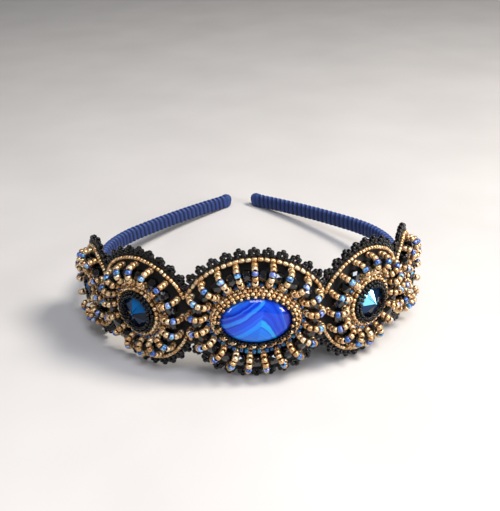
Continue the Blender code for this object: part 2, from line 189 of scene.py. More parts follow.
# Agate: height of its foot, of the dome's edge and of its top, and the power that rounds it. Its bands
# fold along one line, given by its place and lean. For its left and its right come the operation that picks
# that side, how the bands' slope changes with each mm away from the line, and their slope at the line.
# Last, how far the bands wave, and their levels and colours
DOME_FOOT = 0.3 * MM
DOME_LOW = 1.8 * MM
DOME_HIGH = 6.7 * MM
DOME_POWER = 1 / 2.2
DOME_RINGS = 40
DOME_SIDES = 96
FOLD_PLACE = 1.5
FOLD_TILT = 0.2
FOLD_SIDES = (("MINIMUM", -0.027, -1.05), ("MAXIMUM", 0.115, 0.4))
AGATE_WAVE = 1.8
AGATE_SPAN = (-8.0, 16.0)
AGATE_LEFT = (
    (0.0, "#0a74dc"), (0.25, "#0c6edc"), (0.34, "#0c84ea"), (0.385, "#1590ec"), (0.396, "#1a60de"),
    (0.45, "#1c5ede"), (0.51, "#154ccf"), (0.57, "#1046c8"), (0.60, "#0a30ae"), (0.612, "#2274d8"),
    (0.65, "#2c86e4"), (0.685, "#1e68d4"), (0.70, "#0a30b0"), (0.745, "#1440c2"), (0.765, "#2a60cc"),
    (0.785, "#0a2aa2"), (0.84, "#1650c4"), (0.90, "#3476d0"), (1.0, "#0c34b0"),
)
AGATE_RIGHT = (
    (0.0, "#0a7ce4"), (0.285, "#0a7ce4"), (0.295, "#0a5ccc"), (0.303, "#1298e0"), (0.38, "#18a4de"),
    (0.394, "#0c44c4"), (0.47, "#124acc"), (0.53, "#0a34b2"), (0.60, "#164cc6"), (0.68, "#0a30a8"),
    (0.76, "#2456bc"), (0.84, "#0a2490"), (1.0, "#081a70"),
)

# Cut crystals: the table, star and back rings as shares of the radius, the play round the stone, heights
# of girdle and point, how far the star's corners stand out, and the depth behind the girdle. For the
# left (-1) and the right (1) ones: which way the facets with a painted reflection look, in degrees, and
# their tone. A facet gets the painted reflection, a light tone, where the cosine of its angle from that
# side is over a limit; the others get a darker tone at random
CRYSTAL_SIDES = 8
CRYSTAL_TABLE = 0.05
CRYSTAL_STAR = 0.62
CRYSTAL_BACK = 0.02
CRYSTAL_PLAY = 0.05 * MM
CRYSTAL_GIRDLE = 3.3 * MM
CRYSTAL_RISE = 3.3 * MM
STAR_LIFT = 0.1 * MM
CRYSTAL_WALL = 0.3 * MM
CRYSTAL_DEPTH = 2.1 * MM
PAINTED_REFLECTION_SIDE = {-1: 57, 1: 138}
PAINTED_REFLECTION_TONE = {-1: 0.74, 1: 0.92}
PAINTED_REFLECTION_WITHIN = 0.72
PAINTED_REFLECTION_SPREAD = (-0.07, 0.06)
DARK_TONES = (0.03, 0.38)

# Camera: where the photograph was taken from, in the band's own axes, and its lens
CAMERA_YAW = math.radians(1.95)
CAMERA_ELEVATION = math.radians(19.29)
CAMERA_ROLL = math.radians(-1.70)
CAMERA_DISTANCE = 328.5 * MM
CAMERA_AIM = np.array([0.8, -2.85, 0.0]) * MM
IMAGE_HEIGHT_PIXELS = 511
LENS_PIXELS = 800
SENSOR_MM = 36
NEAREST_SEEN = 0.01

# Stage: half the floor's width in metres, the point that the lights look at, the lights as (name, place,
# size, watts, colour), and the pale room
FLOOR_HALF = 4.0
LIGHT_AIM = (0, -0.02, 0.02)
SOFTBOXES = (
    ("key", (0.42, -0.14, 0.62), (0.24, 0.24), 7.0, "#fff7ee"),
    ("fill", (0.04, -0.42, 0.74), (0.3, 0.3), 3.8, "#eef2ff"),
    ("right_window", (0.58, -0.44, 0.23), (0.16, 0.2), 3.0, "#f6f6ff"),
    ("left_window", (-0.55, -0.42, 0.31), (0.08, 0.16), 0.9, "#f2f4ff"),
)
ROOM_COLOUR = "#e9ebef"
ROOM_STRENGTH = 0.22

# Mix nodes of colours: the sockets of the two colours and of the result, and the settings to multiply them
FIRST = 6
SECOND = 7
RESULT = 2
MULTIPLIED = {"data_type": "RGBA", "blend_type": "MULTIPLY"}


def band_axes():
    """The band's own axes and centre in the row frame. Its curve lies in one plane, so the way in which
    the points of its solid spread least is the plane's normal, and its foremost point gives the centre."""
    solid = bpy.data.objects["wrapped_band"].data
    points = np.empty(len(solid.vertices) * 3)
    solid.vertices.foreach_get("co", points)
    points = points.reshape(-1, 3)
    normal = np.linalg.svd(points - points.mean(0), full_matrices=False)[2][2]
    up = normal * np.sign(normal[2])
    side = np.array([1.0, 0.0, 0.0])
    axes = np.stack([side, np.cross(up, side), up])
    local = points @ axes.T
    front = local[:, 1].min() + BAND_RADIUS + BAND_THICKNESS / 2
    middle = (local[:, 2].min() + local[:, 2].max()) / 2
    return axes, np.array([0.0, front, middle]) @ axes


def to_row(points):
    """Points in the band's axes, as points in the row frame."""
    return np.asarray(points) @ AXES + ORIGIN


def follow(start, path, s):
    """Points and headings at lengths s on a path that leaves (0, -start) towards +X. A stretch that turns
    evenly has a chord of its length times sin(x)/x of half its turn, in the direction of its middle."""
    s = np.asarray(s, float)
    left, heading = np.abs(s), np.zeros_like(s)
    x, y = np.zeros_like(s), np.full_like(s, -start)
    for length, degrees in path:
        step = np.clip(left, 0, length)
        turn = math.radians(degrees) * step / length
        chord = step * np.sinc(turn / 2 / math.pi)
        x = x + chord * np.cos(heading + turn / 2)
        y = y + chord * np.sin(heading + turn / 2)
        heading = heading + turn
        left = left - step
    side = np.where(s < 0, -1, 1)
    return side * (x + left * np.cos(heading)), y + left * np.sin(heading), side * heading


def on_strip(s, v, h):
    """Row points at length s along the felt's face, v across it and h out of it. The face leans forward
    by an angle that fades away towards the ends of the strip."""
    s, v, h = np.broadcast_arrays(np.asarray(s, float), v, h)
    x, y, heading = follow(STRIP_FRONT, STRIP_PATH, s)
    lean = STRIP_LEAN * (1 - np.clip((np.abs(s) - LEAN_FROM) / (LEAN_TO - LEAN_FROM), 0, 1))
    out = h * np.cos(lean) - v * np.sin(lean)
    up = h * np.sin(lean) + v * np.cos(lean)
    return to_row(np.stack([x + np.sin(heading) * out, y - np.cos(heading) * out, up], -1))


def on_ring(medallion, side, d, t, h):
    """Row points on the ring d outside the stone's rim, at angle t from the side away from the middle."""
    u = (medallion.half_width + d) * np.cos(t)
    v = (medallion.half_height + d) * np.sin(t)
    return on_strip(side * (medallion.s + u), medallion.v + v, h)


def unit(vectors):
    """Vectors made one long."""
    return vectors / np.linalg.norm(vectors, axis=-1, keepdims=True)


def ring_axes(medallion, side, d, t, h):
    """Unit vectors at a ring's points: outwards from the stone, along the ring, and out of the face."""
    small = 0.05 * MM
    outwards = unit(on_ring(medallion, side, d + small, t, h) - on_ring(medallion, side, d - small, t, h))
    face = unit(on_ring(medallion, side, d, t, h + small) - on_ring(medallion, side, d, t, h - small))
    return outwards, unit(np.cross(face, outwards)), face


def run_along(medallion, d, t):
    """Length along a ring from its first angle to each of the others."""
    u = (medallion.half_width + d) * np.cos(t)
    v = (medallion.half_height + d) * np.sin(t)
    return np.concatenate([[0], np.cumsum(np.hypot(np.diff(u), np.diff(v)))])


def even_angles(medallion, d, count, shift=0.0):
    """Angles that share a ring out evenly by length, from the top on, moved by shift shares."""
    t = np.linspace(0, 2 * math.pi, RING_STEPS) + math.pi / 2
    run = run_along(medallion, d, t)
    shares = (np.arange(count) + shift) % count / count * run[-1]
    return np.interp(shares, run, t)


def ring_length(medallion, d):
    """Length round a ring, by Ramanujan's formula for an ellipse."""
    a, b = medallion.half_width + d, medallion.half_height + d
    return math.pi * (3 * (a + b) - math.sqrt((3 * a + b) * (a + 3 * b)))


def within_seams(medallion, d, t, spare):
    """True where a point of a ring stays on its own side of the seams to the neighbours."""
    u = (medallion.half_width + d) * np.cos(t)
    inside = u > spare - medallion.seam_in
    if medallion.seam_out is not None:
        inside &= u < medallion.seam_out - spare
    return inside


def full_name(medallion, side):
    """A plain name such as left_round."""
    return medallion.name if medallion is CENTRE else ("left_" if side < 0 else "right_") + medallion.name


# Meshes

def grid_faces(rows, columns, closed_rows=False, closed_columns=False):
    """Four-cornered faces between neighbouring points of a grid, wrapped round where it is closed."""
    i = np.arange(rows if closed_rows else rows - 1)[:, None]
    j = np.arange(columns if closed_columns else columns - 1)[None, :]
    i2, j2 = (i + 1) % rows, (j + 1) % columns
    corners = np.broadcast_arrays(i * columns + j, i * columns + j2, i2 * columns + j2, i2 * columns + j)
    return np.stack(corners, -1).reshape(-1, 4)


def end_faces(rows, columns):
    """The first and the last row of a closed grid, each as one face."""
    row = np.arange(columns)
    return np.stack([row[::-1], (rows - 1) * columns + row])


def make_piece(name, points, groups, material, replaced=(), smooth=True, values=None, pattern=None):
    """A piece that rides on the headband. Each group of faces is an array of corner numbers. values are
    named numbers for each point, and pattern is two lengths for each point, which its material reads."""
    mesh = bpy.data.meshes.new(name)
    faces = [face for group in groups for face in group.tolist()]
    mesh.from_pydata(points.reshape(-1, 3).tolist(), [], faces)
    if smooth:
        mesh.shade_smooth()
    for label, numbers in (values or {}).items():
        layer = mesh.attributes.new(label, "FLOAT", "POINT")
        layer.data.foreach_set("value", np.ascontiguousarray(numbers, dtype=np.float32).ravel())
    if pattern is not None:
        layer = mesh.uv_layers.new(name="pattern")
        corners = np.empty(len(mesh.loops), dtype=np.int32)
        mesh.loops.foreach_get("vertex_index", corners)
        layer.data.foreach_set("uv", np.asarray(pattern, dtype=np.float32).reshape(-1, 2)[corners].ravel())
    mesh.materials.append(material)
    piece = bpy.data.objects.new(name, mesh)
    bpy.context.scene.collection.objects.link(piece)
    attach(piece, "root")
    if replaced:
        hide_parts(*replaced)
    return piece


def across_holes(holes):
    """Two unit vectors across each bead's hole."""
    helper = np.where(np.abs(holes[:, 2:3]) < 0.8, [[0.0, 0.0, 1.0]], [[1.0, 0.0, 0.0]])
    first = unit(np.cross(holes, helper))
    return first, np.cross(holes, first)


def seed_beads(name, places, holes, size, material, replaced=(), wobble=1.0):
    """One mesh of seed beads. Each is a ring: a rounded section, from the bore over the rim to the waist
    and back, turned about the hole. Beads differ slightly in size, place and tilt, as strung ones do."""
    count = len(places)
    size = np.broadcast_to(size, (count, 2))[..., None, None, None]
    across, along, deep = np.array(SEED_SECTION).T
    holes = unit(holes + RANDOM.normal(0, TILT_SPREAD * wobble, (count, 3)))
    places = places + RANDOM.normal(0, PLACE_SPREAD * wobble, (count, 3))
    width = size[:, 0] * RANDOM.normal(1, WIDTH_SPREAD, (count, 1, 1, 1))
    length = size[:, 1] * RANDOM.normal(1, LENGTH_SPREAD, (count, 1, 1, 1))
    first, second = across_holes(holes)
    angle = 2 * math.pi * np.arange(SEED_SIDES) / SEED_SIDES + RANDOM.uniform(0, 2 * math.pi, (count, 1))
    rim = np.cos(angle)[..., None] * first[:, None] + np.sin(angle)[..., None] * second[:, None]
    points = (
        places[:, None, None]
        + rim[:, :, None] * across[None, None, :, None] * width
        + holes[:, None, None] * along[None, None, :, None] * length
    )
    per_bead = SEED_SIDES * len(across)
    one = grid_faces(SEED_SIDES, len(across), True, True)
    faces = (one[None] + per_bead * np.arange(count)[:, None, None]).reshape(-1, 4)
    tone = np.repeat(RANDOM.uniform(0, 1, count), per_bead)
    # hollow says how deep in the bore each point lies; the materials darken the bores by it as painted shade
    values = {"tone": tone, "hollow": np.tile(deep, SEED_SIDES * count)}
    return make_piece(name, points, [faces], material, replaced, values=values)


def fire_polished_beads(name, places, holes, material, replaced, scale):
    """One mesh of faceted round beads. Eight upright rhombs go round the middle: each has its side
    corners on the widest ring and its top and bottom corners on rings nearer the hole, in one plane."""
    count = len(places)
    along, across, shift = np.array(CUT_RINGS).T
    first, second = across_holes(holes)
    turn = math.pi / CUT_SIDES * (2 * np.arange(CUT_SIDES)[None] + shift[:, None])
    angle = RANDOM.uniform(0, 2 * math.pi, (count, 1, 1)) + turn
    rim = np.cos(angle)[..., None] * first[:, None, None] + np.sin(angle)[..., None] * second[:, None, None]
    radius = CUT_RADIUS * scale * RANDOM.normal(1, CUT_SPREAD, (count, 1, 1, 1))
    points = places[:, None, None] + radius * (
        rim * across[None, :, None, None] + holes[:, None, None] * along[None, :, None, None]
    )
    k = np.arange(CUT_SIDES)
    after, before = (k + 1) % CUT_SIDES, (k - 1) % CUT_SIDES
    top, upper, middle, lower, bottom = (CUT_SIDES * row for row in range(5))
    rhombs = np.stack([upper + k, middle + k, lower + k, middle + after], -1)
    over = np.stack([upper + k, upper + before, middle + k], -1)
    under = np.stack([lower + before, lower + k, middle + k], -1)
    shoulders = np.stack([lower + k, bottom + k, bottom + after, lower + after], -1)
    collars = np.stack([upper + k, upper + after, top + after, top + k], -1)
    ends = np.stack([top + k, bottom + k[::-1]])
    step = CUT_SIDES * len(across) * np.arange(count)[:, None, None]
    facets = (rhombs, over, under, shoulders, collars, ends)
    groups = [(facet[None] + step).reshape(-1, facet.shape[-1]) for facet in facets]
    tone = np.repeat(RANDOM.uniform(0, 1, count), CUT_SIDES * len(across))
    return make_piece(name, points, groups, material, replaced, smooth=False, values={"tone": tone})


# Materials

def colour(text):
    """An sRGB hex value as linear red, green, blue and alpha."""
    parts = np.array([int(text[i:i + 2], 16) for i in (1, 3, 5)]) / 255
    linear = np.where(parts <= 0.04045, parts / 12.92, ((parts + 0.055) / 1.055) ** 2.4)
    return (*[float(part) for part in linear], 1.0)


def add(tree, kind, sockets=None, stops=(), **settings):
    """Adds a node. A socket, given by its name or number, gets a value, or another node's output, which is
    linked. stops are the stops of a colour ramp, as rows of (place, hex colour)."""
    made = tree.nodes.new(kind)
    for setting, value in settings.items():
        setattr(made, setting, value)
    for number, (place, text) in enumerate(stops):
        elements = made.color_ramp.elements
        element = elements[number] if number < 2 else elements.new(place)
        element.position = place
        element.color = colour(text)
    for socket, value in (sockets or {}).items():
        if isinstance(value, bpy.types.NodeSocket):
            tree.links.new(value, made.inputs[socket])
        else:
            made.inputs[socket].default_value = value
    return made


def make_material(build):
    """A material, named after the function that adds its nodes and returns its shader."""
    material = bpy.data.materials.new(build.__name__)
    material.use_nodes = True
    tree = material.node_tree
    tree.nodes.clear()
    add(tree, "ShaderNodeOutputMaterial", {"Surface": build(tree).outputs[0]})
    return material


def toned(tree, stops):
    """The colour of a bead, facet or turn of cord, which a ramp gives to its tone."""
    tone = add(tree, "ShaderNodeAttribute", attribute_name="tone")
    return add(tree, "ShaderNodeValToRGB", {"Fac": tone.outputs["Fac"]}, stops).outputs["Color"]


def grained(tree, size, detail, depth, strength):
    """A cloudy grain and the bump that it makes. Its size and depth are in mm."""
    place = add(tree, "ShaderNodeTexCoord")
    sockets = {"Vector": place.outputs["Object"], "Scale": 1 / (size * MM), "Detail": detail}
    grain = add(tree, "ShaderNodeTexNoise", sockets).outputs["Fac"]
    bump = add(tree, "ShaderNodeBump", {"Height": grain, "Distance": depth * MM, "Strength": strength})
    return grain, bump.outputs["Normal"]


def painted_bore_shade(tree, base, stops):
    """Painted shade in the bores: the colour base, multiplied by a ramp that gets darker into the bore."""
    deep = add(tree, "ShaderNodeAttribute", attribute_name="hollow")
    bore = add(tree, "ShaderNodeValToRGB", {"Fac": deep.outputs["Fac"]}, stops)
    sockets = {"Factor": 1.0, FIRST: base, SECOND: bore.outputs["Color"]}
    return add(tree, "ShaderNodeMix", sockets, **MULTIPLIED).outputs[RESULT]


def galvanised_gold_glass(tree):
    """Glass seed beads with a galvanised gold coat: pale warm metal with a pearly softness, each bead a
    little different, the skin slightly uneven where the glass was fire-polished, the bores darkened to brown
    as painted shade."""
    tint = toned(tree, ((0.0, "#c09462"), (0.3, "#d5ad7c"), (0.7, "#e4c294"), (1.0, "#f0dab4")))
    grain, bump = grained(tree, size=0.45, detail=2.0, depth=0.03, strength=0.4)
    stops = ((0.35, "#d2c4b2"), (0.65, "#ffffff"))
    worn = add(tree, "ShaderNodeValToRGB", {"Fac": grain}, stops)
    sockets = {"Factor": 0.6, FIRST: tint, SECOND: worn.outputs["Color"]}
    mixed = add(tree, "ShaderNodeMix", sockets, **MULTIPLIED)
    # Painted shade: the bores are darkened to brown
    skin = painted_bore_shade(tree, mixed.outputs[RESULT], ((0.3, "#ffffff"), (1.0, "#553823")))
    return add(tree, "ShaderNodeBsdfPrincipled", {
        "Base Color": skin, "Metallic": 0.72, "Roughness": 0.25, "Normal": bump,
    })


def jet_glass_seed(tree):
    """Opaque black glass seed beads: deep black and so smooth that each catches only small sharp lights."""
    tint = toned(tree, ((0.0, "#010102"), (0.8, "#020203"), (1.0, "#060608")))
    return add(tree, "ShaderNodeBsdfPrincipled", {
        "Base Color": tint, "Roughness": 0.04, "IOR": 1.5, "Specular IOR Level": 0.33,
    })


def fire_polished_jet(tree):
    """Black cut glass with fire-softened facets: each facet mirrors one part of the room, so most are
    dark, some are grey and a few flash white."""
    tint = toned(tree, ((0.0, "#020203"), (0.75, "#050607"), (1.0, "#121317")))
    bump = grained(tree, size=1.2, detail=2.0, depth=0.02, strength=0.3)[1]
    return add(tree, "ShaderNodeBsdfPrincipled", {
        "Base Color": tint, "Roughness": 0.06, "IOR": 1.55, "Coat Weight": 0.5, "Coat Roughness": 0.03,
        "Normal": bump,
    })


def iris_sapphire_glass(tree):
    """Sapphire glass seed beads with a rainbow coat: blue, violet and pale sky drift into each other on
    one bead, and no two are alike. The bores are darkened to night blue as painted shade."""
    tone = add(tree, "ShaderNodeAttribute", attribute_name="tone")
    place = add(tree, "ShaderNodeTexCoord")
    cloud = add(tree, "ShaderNodeTexNoise", {
        "Vector": place.outputs["Object"], "Scale": 1 / (1.3 * MM), "Detail": 1.0,
    })
    drift = add(
        tree, "ShaderNodeMath", {0: cloud.outputs["Fac"], 1: 1.6, 2: tone.outputs["Fac"]},
        operation="MULTIPLY_ADD",
    )
    wrapped = add(tree, "ShaderNodeMath", {0: drift.outputs[0]}, operation="FRACT")
    stops = (
        (0.0, "#223f7e"), (0.15, "#4a70ba"), (0.34, "#7876b8"), (0.5, "#a4c2de"), (0.66, "#489ec4"),
        (0.84, "#3a62aa"), (1.0, "#223f7e"),
    )
    tint = add(tree, "ShaderNodeValToRGB", {"Fac": wrapped.outputs[0]}, stops)
    # Painted shade: the bores are darkened to night blue
    skin = painted_bore_shade(tree, tint.outputs["Color"], ((0.2, "#ffffff"), (1.0, "#1c2350")))
    return add(tree, "ShaderNodeBsdfPrincipled", {
        "Base Color": skin, "Metallic": 0.35, "Roughness": 0.12, "IOR": 1.52, "Coat Weight": 0.5,
        "Coat Roughness": 0.04,
    })


def capri_blue_glass(tree):
    """Clear capri-blue seed beads with a coloured lining: a saturated sea blue that looks lit inside."""
    tint = toned(tree, ((0.0, "#08326a"), (0.5, "#0e528e"), (1.0, "#2288b8")))
    # Painted shade: the bores are darkened to deep blue
    skin = painted_bore_shade(tree, tint, ((0.2, "#ffffff"), (1.0, "#18365a")))
    return add(tree, "ShaderNodeBsdfPrincipled", {
        "Base Color": skin, "Roughness": 0.08, "IOR": 1.5, "Transmission Weight": 0.15, "Coat Weight": 0.4,
        "Coat Roughness": 0.03,
    })


def wound_satin_cord(tree):
    """Denim-blue satin cord, wound tight: each turn shows its twisted strands as fine slanting lines, is
    painted lighter on its ridge and near black in the groove beside it, as painted light and shade. The
    strands are drawn coarser than they are, so that they show."""
    # Painted light and shade: the tone from the relief makes ridges and knots lighter and grooves near black
    groove = toned(tree, ((0.0, "#01030b"), (0.4, "#0c183c"), (0.8, "#22366c"), (1.0, "#46609e")))
    pattern = add(tree, "ShaderNodeUVMap", uv_map="pattern")
    turned = add(
        tree, "ShaderNodeMapping", {"Vector": pattern.outputs["UV"], "Rotation": (0, 0, STRAND_SLANT)}
    )
    strands = add(tree, "ShaderNodeTexWave", {
        "Vector": turned.outputs["Vector"], "Scale": math.pi / 10 / STRAND_SPACING, "Distortion": 1.5,
        "Detail": 2.0,
    }, bands_direction="X")
    stops = ((0.0, "#b0b0b0"), (1.0, "#ffffff"))
    shade = add(tree, "ShaderNodeValToRGB", {"Fac": strands.outputs["Fac"]}, stops)
    sockets = {"Factor": 0.8, FIRST: groove, SECOND: shade.outputs["Color"]}
    mixed = add(tree, "ShaderNodeMix", sockets, **MULTIPLIED)
    bump = add(
        tree, "ShaderNodeBump", {"Height": strands.outputs["Fac"], "Distance": 0.08 * MM, "Strength": 0.7}
    )
    return add(tree, "ShaderNodeBsdfPrincipled", {
        "Base Color": mixed.outputs[RESULT], "Roughness": 0.6, "Sheen Weight": 0.08, "Sheen Roughness": 0.4,
        "Sheen Tint": colour("#7f92ee"), "Specular IOR Level": 0.25, "Normal": bump.outputs["Normal"],
    })


def pressed_wool_felt(tree):
    """Black pressed wool felt: matt, with short fibres lying every way that leave a faint grey fuzz."""
    fibres, bump = grained(tree, size=0.35, detail=6.0, depth=0.12, strength=0.9)
    stops = ((0.3, "#030303"), (0.6, "#09090a"), (0.8, "#151518"))
    tint = add(tree, "ShaderNodeValToRGB", {"Fac": fibres}, stops)
    return add(tree, "ShaderNodeBsdfPrincipled", {
        "Base Color": tint.outputs["Color"], "Roughness": 0.95, "Sheen Weight": 0.12, "Sheen Roughness": 0.5,
        "Normal": bump,
    })


def polished_banded_agate(tree):
    """Dyed blue agate, cut and polished: bands that rise from the left, fold over one line and fall
    steeply on the right, above a bright azure wedge, with hair lines along them, under a glassy polish."""
    pattern = add(tree, "ShaderNodeUVMap", uv_map="pattern")
    wobble = add(tree, "ShaderNodeTexNoise", {"Vector": pattern.outputs["UV"], "Scale": 0.22, "Detail": 3.0})
    parts = add(tree, "ShaderNodeSeparateXYZ", {"Vector": pattern.outputs["UV"]})
    fold = add(
        tree, "ShaderNodeMath", {0: parts.outputs["Y"], 1: FOLD_TILT, 2: FOLD_PLACE}, operation="MULTIPLY_ADD"
    )
    from_fold = add(tree, "ShaderNodeMath", {0: parts.outputs["X"], 1: fold.outputs[0]}, operation="SUBTRACT")
    height = parts.outputs["Y"]
    for one_side, bend, slope in FOLD_SIDES:
        beside = add(tree, "ShaderNodeMath", {0: from_fold.outputs[0], 1: 0.0}, operation=one_side)
        sockets = {0: beside.outputs[0], 1: bend, 2: slope}
        steep = add(tree, "ShaderNodeMath", sockets, operation="MULTIPLY_ADD")
        sockets = {0: steep.outputs[0], 1: beside.outputs[0], 2: height}
        height = add(tree, "ShaderNodeMath", sockets, operation="MULTIPLY_ADD").outputs[0]
    sockets = {0: wobble.outputs["Fac"], 1: AGATE_WAVE, 2: height}
    waved = add(tree, "ShaderNodeMath", sockets, operation="MULTIPLY_ADD")
    lowest, highest = (end + AGATE_WAVE / 2 for end in AGATE_SPAN)
    level = add(tree, "ShaderNodeMapRange", {0: waved.outputs[0], 1: lowest, 2: highest})
    rising = add(tree, "ShaderNodeValToRGB", {"Fac": level.outputs[0]}, AGATE_LEFT)
    falling = add(tree, "ShaderNodeValToRGB", {"Fac": level.outputs[0]}, AGATE_RIGHT)
    turned = add(tree, "ShaderNodeMapRange", {0: from_fold.outputs[0], 1: -0.1, 2: 0.25})
    bands = add(tree, "ShaderNodeMix", {
        "Factor": turned.outputs[0], FIRST: rising.outputs["Color"], SECOND: falling.outputs["Color"],
    }, data_type="RGBA")
    lines = add(
        tree, "ShaderNodeTexNoise", {"W": waved.outputs[0], "Scale": 1.2, "Detail": 4.0, "Roughness": 0.7},
        noise_dimensions="1D",
    )
    stops = ((0.35, "#8f9edc"), (0.58, "#ffffff"))
    light = add(tree, "ShaderNodeValToRGB", {"Fac": lines.outputs["Fac"]}, stops)
    sockets = {"Factor": 0.7, FIRST: bands.outputs[RESULT], SECOND: light.outputs["Color"]}
    mixed = add(tree, "ShaderNodeMix", sockets, **MULTIPLIED)
    return add(tree, "ShaderNodeBsdfPrincipled", {
        "Base Color": mixed.outputs[RESULT], "Roughness": 0.05, "IOR": 1.54, "Specular IOR Level": 0.35,
    })


def foiled_blue_crystal(tree):
    """Cut crystal over foil, with a blue-green coat: each facet has its own tone, from night blue to
    an almost white turquoise, the light ones a painted reflection, and mirrors the light sharply."""
    tint = toned(tree, (
        (0.0, "#020812"), (0.3, "#082848"), (0.5, "#0d3f70"), (0.75, "#1478c4"), (0.88, "#22a6de"),
        (1.0, "#a4f0fa"),
    ))
    return add(tree, "ShaderNodeBsdfPrincipled", {
        "Base Color": tint, "Metallic": 0.5, "Roughness": 0.06, "IOR": 1.6, "Specular IOR Level": 0.2,
        "Coat Weight": 0.2, "Coat Roughness": 0.02,
    })


def matt_painted_board(tree):
    """A plain pale painted table top, matt, with a faint cloudiness."""
    place = add(tree, "ShaderNodeTexCoord")
    cloud = add(tree, "ShaderNodeTexNoise", {"Vector": place.outputs["Object"], "Scale": 1 / (60 * MM)})
    stops = ((0.3, "#c0bebb"), (0.7, "#c7c5c2"))
    tint = add(tree, "ShaderNodeValToRGB", {"Fac": cloud.outputs["Fac"]}, stops)
    return add(tree, "ShaderNodeBsdfPrincipled", {"Base Color": tint.outputs["Color"], "Roughness": 0.75})


# Pieces

def wound_band(material):
    """The band under its winding. A section goes along the path: a circle whose cosine and sine are
    raised to a power, which squares it. The cord is a screw line, so its ridge, the root of |cos|, turns
    by half a wave on the way round, and one knot for each turn stands on the top edge. Both ends close in
    a smooth cap, where the cord is laid side by side, and swell upwards, because they lie on the table."""
    ends = BAND_LENGTH + CORD_PROUD
    turns = round(2 * ends / CORD_PITCH)
    s = np.linspace(-ends, ends, turns * RINGS_FOR_A_TURN + 1)
    around = 2 * math.pi * np.arange(CORD_SIDES) / CORD_SIDES
    upper = (np.sin(around) > -0.01)[None, :]
    x, y, heading = follow(BAND_RADIUS, BAND_PATH, s)
    from_end = ends - np.abs(s)
    close = np.sqrt(np.clip(1 - (1 - np.clip(from_end / BAND_END_ROUND, 0, 1)) ** 2, 0, 1))
    swell = 1 + END_SWELL * np.exp(-(from_end / END_SWELL_LENGTH) ** 2)[:, None] * upper
    close = close[:, None] * swell
    a = np.sign(np.cos(around)) * np.abs(np.cos(around)) ** SQUARE_POWER
    b = np.sign(np.sin(around)) * np.abs(np.sin(around)) ** SQUARE_POWER
    phase = math.pi * s[:, None] / CORD_PITCH + around[None, :] / 2
    ridge = np.sqrt(np.abs(np.cos(phase)))
    on_edge = np.clip(np.cos(around - KNOT_PLACE), 0, 1)[None, :] ** KNOT_WIDTH_POWER
    knots = on_edge * np.clip(np.cos(2 * phase - KNOT_SHIFT), -0.2, 1)
    wound = 1 - np.exp(-(from_end / CORD_CAP) ** CORD_CAP_POWER)[:, None]
    relief = CORD_PROUD + (CORD_RELIEF * (ridge - 1) + KNOT_RELIEF * knots) * wound
    out = (BAND_THICKNESS / 2 + relief) * a[None, :] * close
    up = (BAND_HEIGHT / 2 + relief) * b[None, :] * close
    px = x[:, None] + np.sin(heading)[:, None] * out
    py = y[:, None] - np.cos(heading)[:, None] * out
    points = to_row(np.stack([px, py, up], -1))
    groups = [grid_faces(len(s), len(around), False, True), end_faces(len(s), len(around))]
    pattern = np.stack(np.broadcast_arrays(s[:, None], around[None, :] / (2 * math.pi) * CORD_GIRTH), -1)
    # Painted light and shade: the tone is high on the ridges and the knots and low in the grooves
    tone = np.clip(RIDGE_PAINTED_LIGHT * ridge + KNOT_PAINTED_HIGHLIGHT * knots, 0, 1) * wound + CAP_TONE * (1 - wound)
    return make_piece(
        "wound_cord", points, groups, material, ["wrapped_band"], values={"tone": tone},
        pattern=pattern,
    )


def felt_height(s):
    """Top and bottom of the felt at lengths s: the outermost of the medallions' ellipses there."""
    top, low = np.full_like(s, -1.0), np.full_like(s, 1.0)
    for medallion in (CENTRE, ROUND, OUTER):
        d = medallion.outline + FELT_MARGIN
        across = np.clip((np.abs(s) - medallion.s) / (medallion.half_width + d), -1, 1)
        rise = (medallion.half_height + d) * np.sqrt(1 - across ** 2)
        here = np.abs(np.abs(s) - medallion.s) < medallion.half_width + d
        top = np.where(here, np.maximum(top, medallion.v + rise), top)
        low = np.where(here, np.minimum(low, medallion.v - rise), low)
    return top, low


def felt_strip(material):
    """The felt: at each length an upright section from the lower to the upper outline, on both faces."""
    end = OUTER.s + OUTER.half_width + OUTER.outline + FELT_MARGIN
    tip = np.linspace(end - FELT_END, end, FELT_END_STATIONS)[1:-1]
    s = np.concatenate([-tip[::-1], np.linspace(FELT_END - end, end - FELT_END, FELT_STATIONS), tip])
    side = np.linspace(-1, 1, FELT_ROWS)
    top, low = felt_height(s)
    across = low[:, None] + (top - low)[:, None] * (side[None, :] + 1) / 2
    back = on_strip(s[:, None], across, -FELT_THICKNESS)
    front = on_strip(s[:, None], across[:, ::-1], 0.0)
    points = np.concatenate([back, front], axis=1)
    groups = [grid_faces(*points.shape[:2], False, True), end_faces(*points.shape[:2])]
    piece = make_piece("felt_strip", points, groups, material, ["backing"], smooth=False)


def sagging(medallion, d, t):
    """A ring's distance at angles t: the beads below the stone hang a little lower than those above."""
    return d + medallion.sag * np.clip(-np.sin(t), 0, 1) ** 2


def arch_places(medallion, side, t):
    """Places and hole directions of the beads on each arch, whose beads are drawn in evenly towards the
    stone where the seam to a neighbour leaves less room. Arches that go nearly straight up or down don't
    meet a seam."""
    d, h = ARCH_BEADS.T * np.array([[medallion.reach], [1.0]])
    across = np.abs(np.cos(t))
    seam = np.where(np.cos(t) < 0, medallion.seam_in, medallion.seam_out or NO_SEAM)
    room = seam - ARCH_SEED[0] * medallion.bead - ARCH_SPARE
    free = room / np.maximum(across, LEAST_ACROSS) - medallion.half_width
    foot = np.minimum(d[0], np.where(across < LEAST_ACROSS, d[0], free))
    squeeze = (foot - ARCH_INNER) / (d[0] - ARCH_INNER)
    reach = ARCH_INNER + (d[None, :] - ARCH_INNER) * squeeze[:, None]
    places = on_ring(medallion, side, sagging(medallion, reach, t[:, None]), t[:, None], h[None, :])
    return places, unit(np.gradient(places, axis=1))


